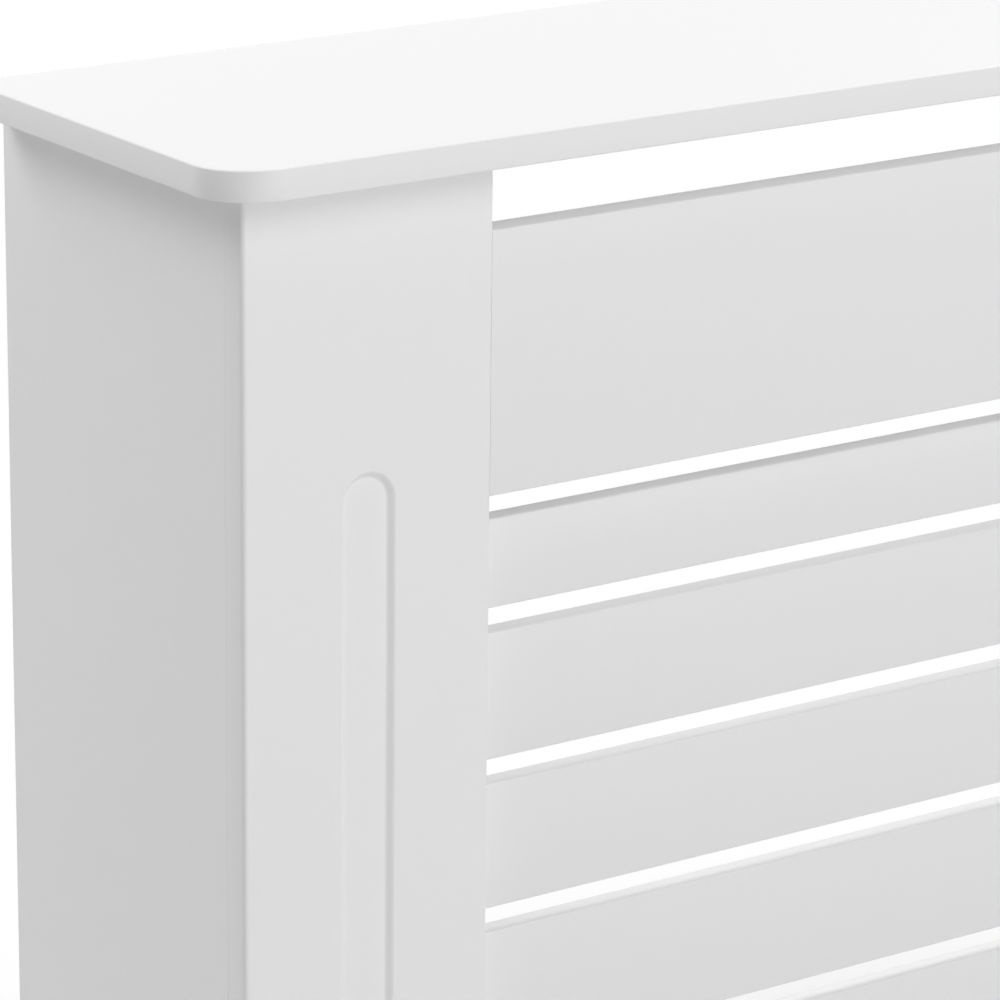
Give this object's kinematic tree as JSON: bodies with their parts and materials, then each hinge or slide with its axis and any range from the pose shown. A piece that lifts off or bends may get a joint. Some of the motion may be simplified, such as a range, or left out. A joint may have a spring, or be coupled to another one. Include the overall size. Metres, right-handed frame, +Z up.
{
  "type": "radiator cover cabinet",
  "caption": "Slim white painted radiator cover: shelf with rounded front corners, fluted front pillars, wide rails and horizontal slats, open back and bottom.",
  "frame": {"origin": "on the floor, under the middle of the shelf's bounding box", "axes": "+X to the right as seen from the front, +Y to the wall, +Z up; the front faces -Y"},
  "size_m": [1.12, 0.19, 0.815],
  "materials": {
    "white_paint": "MDF with sprayed white satin paint",
    "white_primer": "MDF batten with a thin matt white primer",
    "beech": "turned beech, unfinished",
    "white_plastic": "injection moulded white plastic",
    "zinc_plate": "bright zinc plated steel"
  },
  "bodies": {
    "root": {"top_shelf": "white_paint", "side_panel_left": "white_paint", "side_panel_right": "white_paint", "front_pillar_left": "white_paint", "front_pillar_right": "white_paint", "upper_rail": "white_paint", "lower_rail": "white_paint", "slat_1": "white_paint", "slat_2": "white_paint", "slat_3": "white_paint", "slat_4": "white_paint", "slat_5": "white_paint", "slat_6": "white_paint", "slat_7": "white_paint", "slat_8": "white_paint", "middle_batten": "white_primer", "packer_upper": "white_primer", "packer_lower": "white_primer", "corner_batten_left": "white_primer", "corner_batten_right": "white_primer", "dowel_upper_left_high": "beech", "dowel_upper_left_low": "beech", "dowel_upper_right_high": "beech", "dowel_upper_right_low": "beech", "dowel_lower_left_high": "beech", "dowel_lower_left_low": "beech", "dowel_lower_right_high": "beech", "dowel_lower_right_low": "beech", "corner_block_left_front": "white_plastic", "corner_block_left_rear": "white_plastic", "corner_block_right_front": "white_plastic", "corner_block_right_rear": "white_plastic", "wall_bracket_left": "zinc_plate", "wall_bracket_right": "zinc_plate", "slat_screw_1": "zinc_plate", "slat_screw_2": "zinc_plate", "slat_screw_3": "zinc_plate", "slat_screw_4": "zinc_plate", "slat_screw_5": "zinc_plate", "slat_screw_6": "zinc_plate", "slat_screw_7": "zinc_plate", "slat_screw_8": "zinc_plate", "rail_screw_upper": "zinc_plate", "rail_screw_lower": "zinc_plate", "batten_screw_left_high": "zinc_plate", "batten_screw_left_low": "zinc_plate", "batten_screw_right_high": "zinc_plate", "batten_screw_right_low": "zinc_plate", "block_shelf_screw_left_front": "zinc_plate", "block_side_screw_left_front": "zinc_plate", "block_shelf_screw_left_rear": "zinc_plate", "block_side_screw_left_rear": "zinc_plate", "block_shelf_screw_right_front": "zinc_plate", "block_side_screw_right_front": "zinc_plate", "block_shelf_screw_right_rear": "zinc_plate", "block_side_screw_right_rear": "zinc_plate", "bracket_screw_left": "zinc_plate", "bracket_screw_right": "zinc_plate"}
  },
  "joints": []
}
